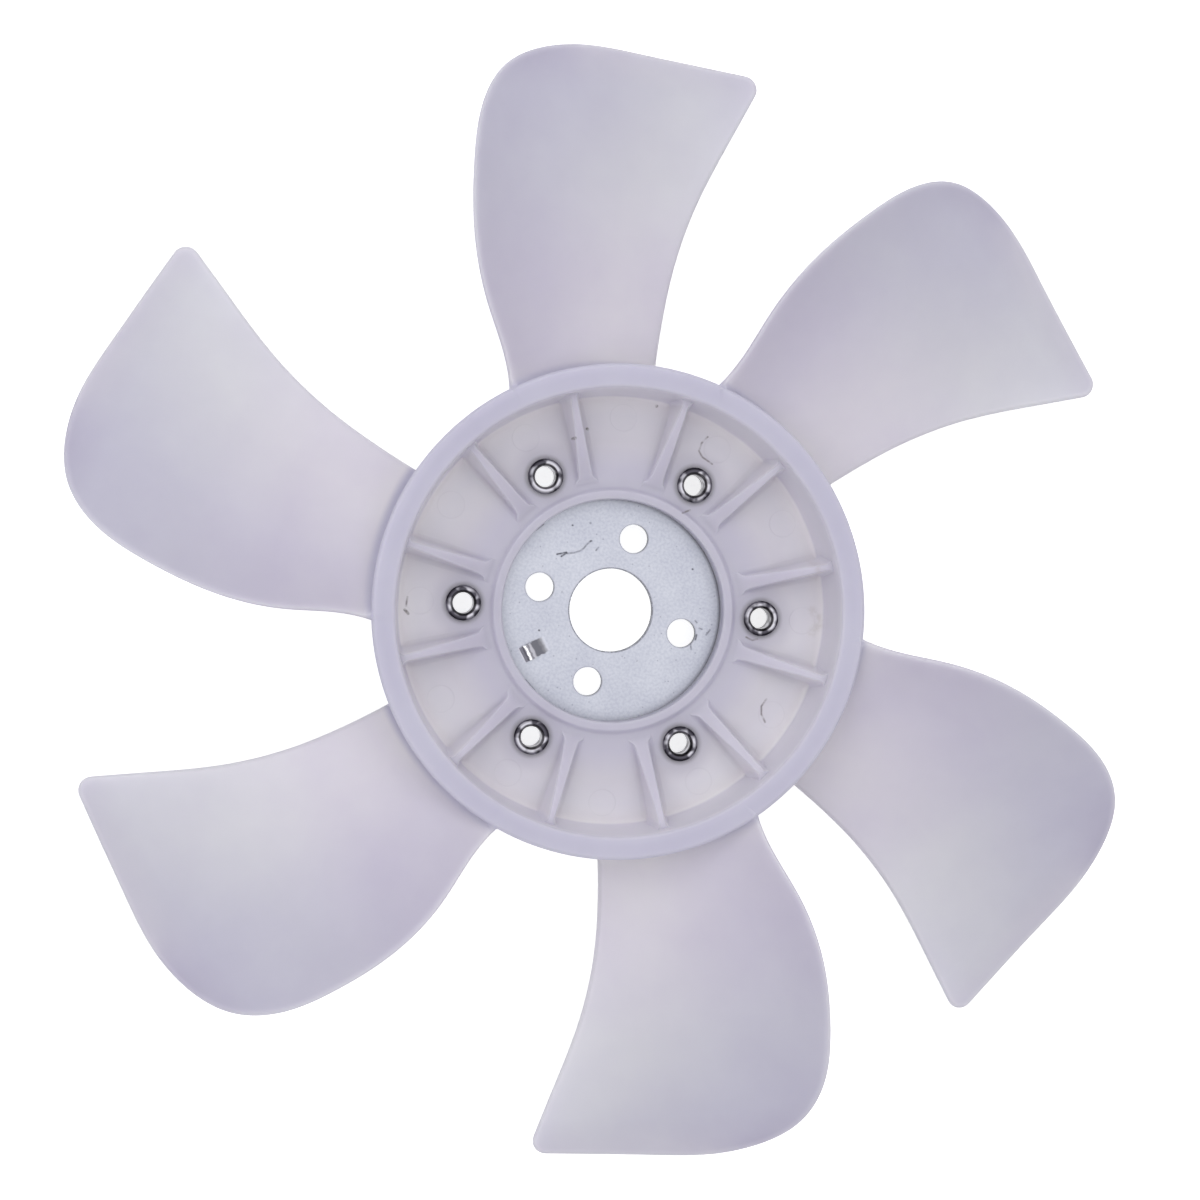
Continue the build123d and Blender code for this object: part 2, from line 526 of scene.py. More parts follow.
moulding_mesh = combined(hub_mesh, rib_set, "UNION")
moulding_mesh = combined(moulding_mesh, blade_set, "UNION")
moulding_mesh = combined(moulding_mesh, hole_set, "DIFFERENCE")
moulding_mesh.name = "fan_moulding_skin"
moulding_mesh.shade_smooth()
moulding_mesh.set_sharp_from_angle(angle=moulding_crease)
fan = shown("fan_moulding_skin", moulding_mesh)
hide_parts("fan_moulding")
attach(fan, "root")


def srgb(code):
    """An sRGB hex colour as the linear colour that a socket takes."""
    channels = [int(code[k : k + 2], 16) / 255 for k in (1, 3, 5)]
    return [*(c / 12.92 if c <= 0.04045 else ((c + 0.055) / 1.055) ** 2.4 for c in channels), 1.0]


def add_node(tree, kind, inputs=None, stops=(), **settings):
    """One shader node. Settings are set on it, stops (place, hex colour) fill a colour ramp, which
    starts with two, and inputs take values, sockets, or nodes, which are linked by their first output
    in use. The two colours of a colour Mix are its inputs 6 and 7."""
    node = tree.nodes.new(kind)
    for name, value in settings.items():
        setattr(node, name, value)
    for spot, _ in stops[2:]:
        node.color_ramp.elements.new(spot)
    for index, (spot, code) in enumerate(stops):
        element = node.color_ramp.elements[index]
        element.position, element.color = spot, srgb(code)
    for name, value in (inputs or {}).items():
        if isinstance(value, bpy.types.Node):
            value = next(output for output in value.outputs if output.enabled)
        if isinstance(value, bpy.types.NodeSocket):
            tree.links.new(value, node.inputs[name])
        else:
            node.inputs[name].default_value = value
    return node


def new_material(name):
    """An empty material and its node tree."""
    material = bpy.data.materials.new(name)
    material.use_nodes = True
    material.node_tree.nodes.clear()
    return material, material.node_tree


def place_on_part(tree):
    """A surface point's place, its place as seen down the axis, and its distance from the axis."""
    place = add_node(tree, "ShaderNodeTexCoord").outputs["Object"]
    flat = add_node(tree, "ShaderNodeVectorMath", {0: place, 1: (1, 1, 0)}, operation="MULTIPLY")
    return place, flat, add_node(tree, "ShaderNodeVectorMath", {0: flat}, operation="LENGTH")


def gap_to_pattern(tree, repeats, first_angle, pattern_r):
    """Distance in metres to the nearest of some equally spaced points on a circle about the axis."""
    _, flat, from_axis = place_on_part(tree)
    axes = add_node(tree, "ShaderNodeSeparateXYZ", {0: flat})
    angle = add_node(
        tree, "ShaderNodeMath", {0: axes.outputs["Y"], 1: axes.outputs["X"]}, operation="ARCTAN2"
    )
    first, half = math.radians(first_angle), math.pi / repeats
    angle = add_node(tree, "ShaderNodeMath", {0: angle, 1: first}, operation="SUBTRACT")
    angle = add_node(tree, "ShaderNodeMath", {0: angle, 1: half, 2: -half}, operation="WRAP")
    spot = []
    for operation, start in (("COSINE", pattern_r / 1000), ("SINE", 0.0)):
        share = add_node(tree, "ShaderNodeMath", {0: angle}, operation=operation)
        spot.append(
            add_node(
                tree, "ShaderNodeMath", {0: share, 1: from_axis, 2: -start}, operation="MULTIPLY_ADD"
            )
        )
    both = add_node(tree, "ShaderNodeCombineXYZ", {0: spot[0], 1: spot[1]})
    return add_node(tree, "ShaderNodeVectorMath", {0: both}, operation="LENGTH")


def gap_to_marks(tree, marks):
    """Distance in metres to the nearest of some marks, each a run of points (x, y) in millimetres."""
    flat, nearest = place_on_part(tree)[1], None
    for mark in marks:
        for start, end in zip(mark, mark[1:]):
            first = Vector((*start, 0)) / 1000
            run = Vector((*end, 0)) / 1000 - first
            scaled = run / run.length_squared
            since = add_node(tree, "ShaderNodeVectorMath", {0: flat, 1: first}, operation="SUBTRACT")
            share = add_node(
                tree, "ShaderNodeVectorMath", {0: since, 1: scaled}, operation="DOT_PRODUCT"
            )
            share = add_node(tree, "ShaderNodeClamp", {"Value": share})
            off = add_node(
                tree, "ShaderNodeVectorMath", {0: share, 1: -run, 2: since}, operation="MULTIPLY_ADD"
            )
            gap = add_node(tree, "ShaderNodeVectorMath", {0: off}, operation="LENGTH")
            if nearest:
                gap = add_node(tree, "ShaderNodeMath", {0: nearest, 1: gap}, operation="MINIMUM")
            nearest = gap
    return nearest


def colours_along(tree, distance, colours):
    """Colours laid out along a distance, from pairs of millimetres and hex colour."""
    low, high = colours[0][0], colours[-1][0]
    share = add_node(
        tree, "ShaderNodeMapRange", {"Value": distance, "From Min": low / 1000, "From Max": high / 1000}
    )
    stops = [((spot - low) / (high - low), code) for spot, code in colours]
    return add_node(tree, "ShaderNodeValToRGB", {"Fac": share}, stops)


# How far across its blade each point lies, from the leading edge (0) to the trailing edge (1), and how
# far in from the blade's edge it lies. The painted light and shade across the blade follow the first,
# and the painted highlight along its edge the second. The edges part where the blade reaches furthest
# out.
furthest = 3
low_edge = np.array(leading_edge + trailing_edge[1 : furthest + 1])
high_edge = np.array(trailing_edge[: furthest - 1 : -1])
outline_spots = np.array([tuple(p) for p in blade_outline() if p.length > rim_outer_r])
skin_spots = np.array([vertex.co[:2] for vertex in moulding_mesh.vertices]) * 1000
off_blade_share, off_blade_mm, near_blade, inner_reach = 0.5, 9.0, 0.8, 0.9
across_share = np.full(len(skin_spots), off_blade_share)
edge_distance = np.full(len(skin_spots), off_blade_mm)
for angle in blade_angles:
    spots = skin_spots @ np.array(about_axis(angle).to_2x2())
    lowest, highest = np.interp(spots[:, 0], *low_edge.T), np.interp(spots[:, 0], *high_edge.T)
    share = (spots[:, 1] - lowest) / np.maximum(highest - lowest, 1.0)
    beside = abs(share - off_blade_share) < near_blade
    on_blade = np.flatnonzero((spots[:, 0] > rim_outer_r * inner_reach) & beside)
    across_share[on_blade] = share[on_blade].clip(0, 1)
    gaps = spots[on_blade, None, :] - outline_spots[None, :, :]
    edge_distance[on_blade] = np.hypot(gaps[..., 0], gaps[..., 1]).min(axis=1)
for name, values in (("across_blade", across_share), ("edge_distance", edge_distance / 1000)):
    attribute = moulding_mesh.attributes.new(name, "FLOAT", "POINT")
    attribute.data.foreach_set("value", values.astype(np.float32))

# Natural polypropylene, injection moulded: milky and a little see-through, with a satin mould finish.
# Light scatters inside it and softens every shadow. The thick rim and ribs are violet grey. The web is
# painted darker over the plate and lighter and creamier out on the thin web, as painted light coming
# through it, with a painted highlight line at the wall's foot, and painted shade and shadow ring the
# rivets. Steep sides are painted lighter to offset their shade. The blades carry painted light and
# shade across them and out to the tip, and a painted highlight along their edges. The mould's own
# grain, about 0.1 mm, is too fine to show, so it is drawn coarser.
web_colours_and_painted_light = (
    # radius, colour: lip, web over the plate, thin web, painted highlight line at the wall's foot, rim;
    # the lip and the web over the plate are painted darker, and the thin web is painted lighter for the
    # light coming through it and to offset the shade near the wall
    (33.0, "#BEBCCA"),
    (42.0, "#C4C1D0"),
    (50.0, "#CFCCD4"),
    (58.0, "#DCDAE0"),
    (63.0, "#E9E6E9"),
    (63.6, "#F0EEF0"),
    (64.4, "#E0DEE6"),
    (65.6, "#C4C2D3"),
    (73.0, "#C4C2D3"),
)
# Painted light and shade across the blade, from the leading edge (0) to the trailing edge (1): lighter
# at the leading edge and darker towards the trailing edge, and lighter overall than the rim for the
# light coming through the thin blade.
blade_painted_light_and_shade = ((0.0, "#EFECEE"), (0.3, "#EBE8EA"), (0.7, "#DBD8DF"), (1.0, "#D1CED6"))
reach_painted_shade = (
    # radius, painted shade over the blade's own colour: light at the root, cooler and darker to the tip
    (72.0, "#FFFFFF"),
    (80.0, "#F6F5FB"),
    (100.0, "#EEEDF6"),
    (130.0, "#E9EBF2"),
    (155.0, "#E4E6F0"),
    (168.0, "#D9D9E6"),
)
# Steep sides inside the drum are painted lighter to offset the shade on them (painted light), rib tops
# take the thick plastic's violet grey, and blade edges get a painted highlight.
side_painted_light, ridge_colour, edge_highlight_colour = "#E2E0E8", "#C7C4D2", "#E9E6F4"
rivet_painted_shade_rings = (
    # painted shade where the plate behind keeps light from coming through the web, then the painted
    # shadow of the rivet's crown; from and to in mm from the rivet's own axis, strength, colour
    (5.5, 12.0, 0.5, "#B3B0BF"),
    (5.2, 7.0, 0.65, "#7F7C84"),
)
past_lip_r, past_rim_r, past_drum_r = (36.5, 37.5), (65.5, 66.5), (72.0, 75.0)
near_wall_r, away_from_wall = (62.5, 64.0), 0.4
# Painted highlight along the blades' rounded edges: from and to in mm in from the edge, strength.
edge_highlight_mm, edge_strength = (1.0, 2.2), 0.12
raised_z, steep_below, level_above = (6.2, 8.0), 0.2, 0.8
cloud_mm, skip_mm, grain_mm, grain_share = 30.0, 1.6, 0.9, 0.12
pin_pattern_r, pin_r, pin_line, pin_strength, pin_colour = 57.5, 4.0, 0.2, 0.05, "#8F8B99"
scuffs = (
    # hair-thin scratches and scuffs in the web
    ((11.0, 58.2), (9.8, 55.9), (9.7, 53.4), (11.2, 51.9), (14.7, 50.9)),
    ((10.6, 34.1), (12.6, 35.7)),
    ((52.5, -10.9), (51.7, -13.4), (52.5, -15.7), (54.4, -17.6)),
    ((40.7, 4.9), (42.7, 4.6), (44.1, 5.4)),
    ((-59.3, -15.0), (-58.9, -17.7)),
)
dirt_spots = (
    # grains of dirt
    ((-58.9, -18.8), (-57.6, -19.6)),
    ((-24.2, 48.9), (-24.0, 48.9)),
    ((-27.6, 44.6), (-27.5, 44.6)),
    ((-6.5, 62.0), (-6.4, 62.1)),
    ((-9.8, 141.9), (-9.6, 141.8)),
)
oily_smudges = (((57.5, 18.9), (60.2, 17.2), (60.9, 15.2), (59.7, 12.5)), ((52.2, 31.1), (54.0, 29.5)))

natural_polypropylene, tree = new_material("natural_polypropylene")
place, _, from_axis = place_on_part(tree)
height = add_node(tree, "ShaderNodeSeparateXYZ", {0: place}).outputs["Z"]
facing = add_node(tree, "ShaderNodeTexCoord").outputs["Normal"]
facing = add_node(tree, "ShaderNodeSeparateXYZ", {0: facing}).outputs["Z"]
# The web's colour by radius, with painted light: darker over the plate, lighter on the thin web, and a
# painted highlight line at the wall's foot.
tint = colours_along(tree, from_axis, web_colours_and_painted_light)
past_lip = add_node(
    tree,
    "ShaderNodeMapRange",
    {"Value": from_axis, "From Min": past_lip_r[0] / 1000, "From Max": past_lip_r[1] / 1000},
)
inside_drum = add_node(
    tree,
    "ShaderNodeMapRange",
    {
        "Value": from_axis,
        "From Min": past_rim_r[0] / 1000,
        "From Max": past_rim_r[1] / 1000,
        "To Min": 1.0,
        "To Max": 0.0,
    },
)
inside_drum = add_node(tree, "ShaderNodeMath", {0: inside_drum, 1: past_lip}, operation="MULTIPLY")
# Painted light: steep faces inside the drum are lightened, most at the wall, and level raised faces
# take the rib tops' own violet grey.
steep = add_node(
    tree,
    "ShaderNodeMapRange",
    {"Value": facing, "From Min": steep_below, "From Max": level_above, "To Min": 1.0, "To Max": 0.0},
    interpolation_type="SMOOTHSTEP",
)
raised = add_node(
    tree,
    "ShaderNodeMapRange",
    {"Value": height, "From Min": raised_z[0] / 1000, "From Max": raised_z[1] / 1000},
    interpolation_type="SMOOTHSTEP",
)
level = add_node(tree, "ShaderNodeMath", {0: 1.0, 1: steep}, operation="SUBTRACT")
on_ridge = add_node(tree, "ShaderNodeMath", {0: raised, 1: level}, operation="MULTIPLY")
near_wall = add_node(
    tree,
    "ShaderNodeMapRange",
    {
        "Value": from_axis,
        "From Min": near_wall_r[0] / 1000,
        "From Max": near_wall_r[1] / 1000,
        "To Min": away_from_wall,
        "To Max": 1.0,
    },
)
steep = add_node(tree, "ShaderNodeMath", {0: steep, 1: near_wall}, operation="MULTIPLY")
for share, code in ((steep, side_painted_light), (on_ridge, ridge_colour)):
    share = add_node(tree, "ShaderNodeMath", {0: share, 1: inside_drum}, operation="MULTIPLY")
    tint = add_node(tree, "ShaderNodeMix", {"Factor": share, 6: tint, 7: srgb(code)}, data_type="RGBA")
# The blade's colour with painted light and shade across it and out to the tip.
across_blade = add_node(tree, "ShaderNodeAttribute", attribute_name="across_blade").outputs["Fac"]
blade_tint = add_node(tree, "ShaderNodeValToRGB", {"Fac": across_blade}, blade_painted_light_and_shade)
reach_painted_shade_tint = colours_along(tree, from_axis, reach_painted_shade)
blade_tint = add_node(
    tree,
    "ShaderNodeMix",
    {"Factor": 1.0, 6: blade_tint, 7: reach_painted_shade_tint},
    data_type="RGBA",
    blend_type="MULTIPLY",
)
from_edge = add_node(tree, "ShaderNodeAttribute", attribute_name="edge_distance").outputs["Fac"]
# A painted highlight along the blade's rounded edge.
edge_highlight = add_node(
    tree,
    "ShaderNodeMapRange",
    {
        "Value": from_edge,
        "From Min": edge_highlight_mm[0] / 1000,
        "From Max": edge_highlight_mm[1] / 1000,
        "To Min": edge_strength,
        "To Max": 0.0,
    },
    interpolation_type="SMOOTHSTEP",
)
blade_tint = add_node(
    tree,
    "ShaderNodeMix",
    {"Factor": edge_highlight, 6: blade_tint, 7: srgb(edge_highlight_colour)},
    data_type="RGBA",
)
past_drum = add_node(
    tree,
    "ShaderNodeMapRange",
    {"Value": from_axis, "From Min": past_drum_r[0] / 1000, "From Max": past_drum_r[1] / 1000},
    interpolation_type="SMOOTHSTEP",
)
tint = add_node(tree, "ShaderNodeMix", {"Factor": past_drum, 6: tint, 7: blade_tint}, data_type="RGBA")
rivet_gap = gap_to_pattern(tree, rivet_count, rivet_angle, rivet_pitch_r)
# Painted shade and shadow on the web round each rivet.
for near, far, strength, code in rivet_painted_shade_rings:
    rivet_shade = add_node(
        tree,
        "ShaderNodeMapRange",
        {
            "Value": rivet_gap,
            "From Min": near / 1000,
            "From Max": far / 1000,
            "To Min": strength,
            "To Max": 0.0,
        },
        interpolation_type="SMOOTHSTEP",
    )
    tint = add_node(
        tree, "ShaderNodeMix", {"Factor": rivet_shade, 6: tint, 7: srgb(code)}, data_type="RGBA"
    )
cloud = add_node(
    tree,
    "ShaderNodeTexNoise",
    {"Vector": place, "Scale": 1000 / cloud_mm, "Detail": 3.0, "Roughness": 0.6},
)
cloudy = add_node(tree, "ShaderNodeValToRGB", {"Fac": cloud}, ((0.3, "#F8F7FA"), (0.7, "#FFFFFF")))
tint = add_node(
    tree, "ShaderNodeMix", {"Factor": 1.0, 6: tint, 7: cloudy}, data_type="RGBA", blend_type="MULTIPLY"
)
pin_gap = gap_to_pattern(tree, rib_count, 180 / rib_count, pin_pattern_r)
broken = add_node(tree, "ShaderNodeTexNoise", {"Vector": place, "Scale": 1000 / skip_mm, "Detail": 2.0})
broken = add_node(
    tree, "ShaderNodeMapRange", {"Value": broken, "From Min": 0.35, "From Max": 0.6, "To Min": 0.15}
)
for gap, near, far, strength, code in (
    # distance to the marks, from and to in mm, strength, colour
    (gap_to_marks(tree, oily_smudges), 0.1, 2.2, 0.2, "#9A8F80"),
    (gap_to_marks(tree, scuffs), 0.08, 0.45, 0.75, "#6F6668"),
    (gap_to_marks(tree, dirt_spots), 0.25, 0.6, 0.85, "#4A4238"),
):
    mark = add_node(
        tree,
        "ShaderNodeMapRange",
        {
            "Value": gap,
            "From Min": near / 1000,
            "From Max": far / 1000,
            "To Min": strength,
            "To Max": 0.0,
        },
        interpolation_type="SMOOTHSTEP",
    )
    mark = add_node(tree, "ShaderNodeMath", {0: mark, 1: broken}, operation="MULTIPLY")
    tint = add_node(tree, "ShaderNodeMix", {"Factor": mark, 6: tint, 7: srgb(code)}, data_type="RGBA")
pin_ring = add_node(
    tree, "ShaderNodeMath", {0: pin_gap, 1: pin_r / 1000, 2: pin_line / 1000}, operation="COMPARE"
)
pin_ring = add_node(tree, "ShaderNodeMath", {0: pin_ring, 1: pin_strength}, operation="MULTIPLY")
tint = add_node(
    tree, "ShaderNodeMix", {"Factor": pin_ring, 6: tint, 7: srgb(pin_colour)}, data_type="RGBA"
)
pin_step = add_node(
    tree,
    "ShaderNodeMapRange",
    {"Value": pin_gap, "From Min": (pin_r - pin_line) / 1000, "From Max": (pin_r + pin_line) / 1000},
)
grain = add_node(tree, "ShaderNodeTexNoise", {"Vector": place, "Scale": 1000 / grain_mm, "Detail": 2.0})
relief = add_node(
    tree, "ShaderNodeMath", {0: grain, 1: grain_share, 2: pin_step}, operation="MULTIPLY_ADD"
)
bump = add_node(tree, "ShaderNodeBump", {"Height": relief, "Strength": 0.5, "Distance": 0.0001})
skin = add_node(
    tree,
    "ShaderNodeBsdfPrincipled",
    {
        "Base Color": tint,
        "Roughness": 0.42,
        "IOR": 1.49,
        "Subsurface Weight": 0.85,
        "Subsurface Radius": (1.0, 0.95, 1.0),
        "Subsurface Scale": 0.006,
        "Normal": bump,
    },
)
add_node(tree, "ShaderNodeOutputMaterial", {"Surface": skin})
moulding_mesh.materials.clear()
moulding_mesh.materials.append(natural_polypropylene)

# Mounting plate
# A round steel plate, blanked from sheet, with one tab pressed up. It lies behind the web, and the six
# rivets clamp it there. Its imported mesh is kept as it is, and only gets its finish here.

bore_r, stud_pitch_r, stud_r, stud_count = 12.5, 22.5, 4.3, 4
tab_angle, tab_half_width = 225.0, 2.35
tab_fades, tab_side_fade = ((21.4, 22.4), (30.2, 29.9)), (-0.1, 0.2)

# Steel sheet, cold rolled and zinc plated: a cool, satin grey with a fine mottle. Its own grain, under
# 0.1 mm, is too fine to show, so the mottle is drawn coarser. Cut edges are darker bare steel, the
# tab's folds carry painted shade and a painted highlight, a painted shadow lies along the web's edge
# on one side, and there are scratches and nicks.
plate_colour, fleck_colour, cut_colour, web_edge_shadow_colour = "#AFB1BA", "#6B6D76", "#5E5F66", "#6A6A72"
web_edge_shadow_r, shadow_side_angle, shadow_side_mm = (32.2, 33.1), 30.0, (-5.0, 30.0)
fold_wander = 0.9
underside = -0.5
mottle_mm, patch_mm, fleck_mm, fold_mm = 0.8, 14.0, 2.6, 1.3
tab_painted_light_and_shade = (
    # distance out along the tab, colour, all painted light and shade on the pressed tab: painted shade
    # before it, long ramp painted dark, upper fold, flat, painted highlight on the outer fold, end
    # slope
    (21.4, "#C9CBD5"),
    (22.0, "#B4B5BE"),
    (22.6, "#97989F"),
    (23.2, "#77777D"),
    (24.0, "#62626A"),
    (25.9, "#62626A"),
    (26.3, "#A5A4AC"),
    (26.7, "#A5A4AC"),
    (27.1, "#6C6B72"),
    (27.5, "#8A8990"),
    (27.8, "#F2F2F6"),
    (28.1, "#FFFFFF"),
    (28.4, "#8A8990"),
    (28.7, "#7A7980"),
    (29.2, "#B8B7BE"),
    (30.1, "#B8B7BE"),
)
plate_scratches = (
    ((-17.7, 12.1), (-15.8, 13.0), (-14.2, 14.1), (-13.5, 15.2), (-13.0, 16.5), (-12.3, 17.7)),
    ((-9.8, 15.7), (-9.4, 16.7)),
    ((25.4, 4.9), (26.0, 4.5)),
    ((27.3, 3.1), (28.1, 3.1)),
    ((30.5, 3.6), (29.9, 1.9)),
    ((25.9, -1.7), (26.9, -3.7)),
)
plate_nicks = (
    ((-20.6, 10.9), (-18.1, 12.3)),
    ((-19.2, 10.7), (-18.0, 12.2)),
    ((-12.2, 17.8), (-12.0, 17.9)),
    ((-28.8, 16.0), (-27.3, 18.2)),
    ((-17.9, -27.8), (-14.5, -29.9)),
    ((-18.7, -12.4), (-18.6, -12.4)),
    ((-14.0, 22.9), (-13.9, 22.9)),
    ((-18.9, 20.6), (-18.8, 20.6)),
    ((19.7, 19.4), (19.8, 19.4)),
    ((27.1, 1.0), (27.2, -0.5)),
    ((-5.5, 10.9), (-1.7, 12.1)),
)

zinc_plate, tree = new_material("zinc_plated_steel")
place, flat, from_axis = place_on_part(tree)
tint = srgb(plate_colour)
for size_mm, dark in ((mottle_mm, "#F0F1F4"), (patch_mm, "#F6F6F8")):
    pattern = add_node(
        tree, "ShaderNodeTexNoise", {"Vector": place, "Scale": 1000 / size_mm, "Detail": 2.0}
    )
    pattern = add_node(tree, "ShaderNodeValToRGB", {"Fac": pattern}, ((0.35, dark), (0.62, "#FFFFFF")))
    tint = add_node(
        tree,
        "ShaderNodeMix",
        {"Factor": 1.0, 6: tint, 7: pattern},
        data_type="RGBA",
        blend_type="MULTIPLY",
    )
fleck_gap = add_node(tree, "ShaderNodeTexVoronoi", {"Vector": flat, "Scale": 1000 / fleck_mm})
flecks = add_node(
    tree,
    "ShaderNodeMapRange",
    {"Value": fleck_gap, "From Min": 0.05, "From Max": 0.12, "To Min": 0.5, "To Max": 0.0},
)
tint = add_node(
    tree, "ShaderNodeMix", {"Factor": flecks, 6: tint, 7: srgb(fleck_colour)}, data_type="RGBA"
)
facing = add_node(tree, "ShaderNodeTexCoord").outputs["Normal"]
facing = add_node(tree, "ShaderNodeSeparateXYZ", {0: facing}).outputs["Z"]
cut_edge = add_node(
    tree,
    "ShaderNodeMapRange",
    {"Value": facing, "From Min": 0.1, "From Max": 0.3, "To Min": 0.9, "To Max": 0.0},
)
below = add_node(tree, "ShaderNodeMath", {0: facing, 1: underside}, operation="GREATER_THAN")
cut_edge = add_node(tree, "ShaderNodeMath", {0: cut_edge, 1: below}, operation="MULTIPLY")
tint = add_node(
    tree, "ShaderNodeMix", {"Factor": cut_edge, 6: tint, 7: srgb(cut_colour)}, data_type="RGBA"
)
stud_gap = gap_to_pattern(tree, stud_count, 0.0, stud_pitch_r)
broken = add_node(
    tree, "ShaderNodeTexNoise", {"Vector": place, "Scale": 1000 / mottle_mm, "Detail": 2.0}
)
broken = add_node(
    tree, "ShaderNodeMapRange", {"Value": broken, "From Min": 0.3, "From Max": 0.55, "To Min": 0.35}
)
for gap, near, far, strength, code in (
    # distance to the marks, from and to in mm, strength, colour
    (from_axis, bore_r + 0.2, bore_r + 0.5, 0.85, "#5A5B63"),
    (stud_gap, stud_r + 0.1, stud_r + 0.4, 0.6, "#6C6D75"),
    (gap_to_marks(tree, plate_scratches), 0.1, 0.4, 0.75, "#5A5B64"),
    (gap_to_marks(tree, plate_nicks), 0.1, 0.42, 1.0, "#45464E"),
):
    mark = add_node(
        tree,
        "ShaderNodeMapRange",
        {
            "Value": gap,
            "From Min": near / 1000,
            "From Max": far / 1000,
            "To Min": strength,
            "To Max": 0.0,
        },
    )
    mark = add_node(tree, "ShaderNodeMath", {0: mark, 1: broken}, operation="MULTIPLY")
    tint = add_node(tree, "ShaderNodeMix", {"Factor": mark, 6: tint, 7: srgb(code)}, data_type="RGBA")
# A painted shadow on the plate where it passes under the web, darkest on one side.
web_edge_shadow = add_node(
    tree,
    "ShaderNodeMapRange",
    {"Value": from_axis, "From Min": web_edge_shadow_r[0] / 1000, "From Max": web_edge_shadow_r[1] / 1000},
)
to_shadow_side = about_axis(shadow_side_angle) @ Vector((1, 0, 0))
shadow_side = add_node(tree, "ShaderNodeVectorMath", {0: flat, 1: to_shadow_side}, operation="DOT_PRODUCT")
shadow_side = add_node(
    tree,
    "ShaderNodeMapRange",
    {
        "Value": shadow_side,
        "From Min": shadow_side_mm[0] / 1000,
        "From Max": shadow_side_mm[1] / 1000,
        "To Min": 0.05,
        "To Max": 0.9,
    },
)
web_edge_shadow = add_node(tree, "ShaderNodeMath", {0: web_edge_shadow, 1: shadow_side}, operation="MULTIPLY")
tint = add_node(
    tree, "ShaderNodeMix", {"Factor": web_edge_shadow, 6: tint, 7: srgb(web_edge_shadow_colour)}, data_type="RGBA"
)
along_tab = about_axis(tab_angle) @ Vector((1, 0, 0))
across_tab = about_axis(tab_angle) @ Vector((0, 1, 0))
wander = Vector((1, 1, 0)) * fold_wander / 1000
ragged = add_node(tree, "ShaderNodeTexNoise", {"Vector": flat, "Scale": 1000 / fold_mm, "Detail": 1.0})
ragged = add_node(
    tree,
    "ShaderNodeVectorMath",
    {0: ragged.outputs["Color"], 1: wander, 2: -wander / 2},
    operation="MULTIPLY_ADD",
)
ragged = add_node(tree, "ShaderNodeVectorMath", {0: flat, 1: ragged}, operation="ADD")
out = add_node(tree, "ShaderNodeVectorMath", {0: ragged, 1: along_tab}, operation="DOT_PRODUCT")
aside = add_node(tree, "ShaderNodeVectorMath", {0: ragged, 1: across_tab}, operation="DOT_PRODUCT")
aside = add_node(tree, "ShaderNodeMath", {0: aside}, operation="ABSOLUTE")
on_tab = add_node(
    tree,
    "ShaderNodeMapRange",
    {
        "Value": aside,
        "From Min": (tab_half_width + tab_side_fade[0]) / 1000,
        "From Max": (tab_half_width + tab_side_fade[1]) / 1000,
        "To Min": 1.0,
        "To Max": 0.0,
    },
)
for start, end in tab_fades:
    past = add_node(
        tree, "ShaderNodeMapRange", {"Value": out, "From Min": start / 1000, "From Max": end / 1000}
    )
    on_tab = add_node(tree, "ShaderNodeMath", {0: on_tab, 1: past}, operation="MULTIPLY")
# Painted light and shade on the tab's ramp, folds and end slope.
tab_painted_tint = colours_along(tree, out, tab_painted_light_and_shade)
tint = add_node(tree, "ShaderNodeMix", {"Factor": on_tab, 6: tint, 7: tab_painted_tint}, data_type="RGBA")
grit = add_node(tree, "ShaderNodeTexNoise", {"Vector": place, "Scale": 1000 / mottle_mm, "Detail": 3.0})
bump = add_node(tree, "ShaderNodeBump", {"Height": grit, "Strength": 0.3, "Distance": 0.00005})
skin = add_node(
    tree,
    "ShaderNodeBsdfPrincipled",
    {"Base Color": tint, "Metallic": 0.85, "Roughness": 0.5, "Normal": bump},
)
add_node(tree, "ShaderNodeOutputMaterial", {"Surface": skin})
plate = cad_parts["mounting_plate"]
plate.data.materials.clear()
plate.data.materials.append(zinc_plate)

# Hub rivets
# Six hollow steel rivets hold the plate to the web. Their ends are rolled over by the riveting tool,
# so the crown is a smooth bead that runs down into the bore.

rivet_bore_r, rivet_shank_r, rivet_crown_r, rivet_tail_r = 3.1, 4.25, 5.25, 6.0
crown_mouth_r, crown_mouth_z, crown_top_z = 3.75, 5.6, 7.1
tail_mouth_r, tail_mouth_z, tail_end_z, plate_back_z = 4.1, -1.9, -3.3, -2.5
rivet_outline = (
    # radius, height, corner radius
    (tail_mouth_r, tail_end_z, 0.5),
    (rivet_tail_r, tail_end_z, 0.4),
    (rivet_tail_r, plate_back_z, 0.1),
    (rivet_shank_r, plate_back_z, 0.1),
    (rivet_shank_r, web_top_z, 0.1),
    (rivet_crown_r, web_top_z, 0.35),
    (rivet_crown_r, crown_top_z, 0.8),
    (crown_mouth_r, crown_top_z, 0.55),
    (rivet_bore_r, crown_mouth_z, 0.8),
    (rivet_bore_r, tail_mouth_z, 1.6),
)
rivet_facets = 72
rivet_crease = math.radians(50)

rivet_mesh = facing_out(solid_mesh("rivet", *turned(rounded(rivet_outline), rivet_facets)))
rivets_mesh = joined("hub_rivets_rolled", rivet_mesh, hole_places)
rivets_mesh.shade_smooth()
rivets_mesh.set_sharp_from_angle(angle=rivet_crease)
rivets = shown("hub_rivets_rolled", rivets_mesh)
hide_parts("hub_rivets")
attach(rivets, "root")

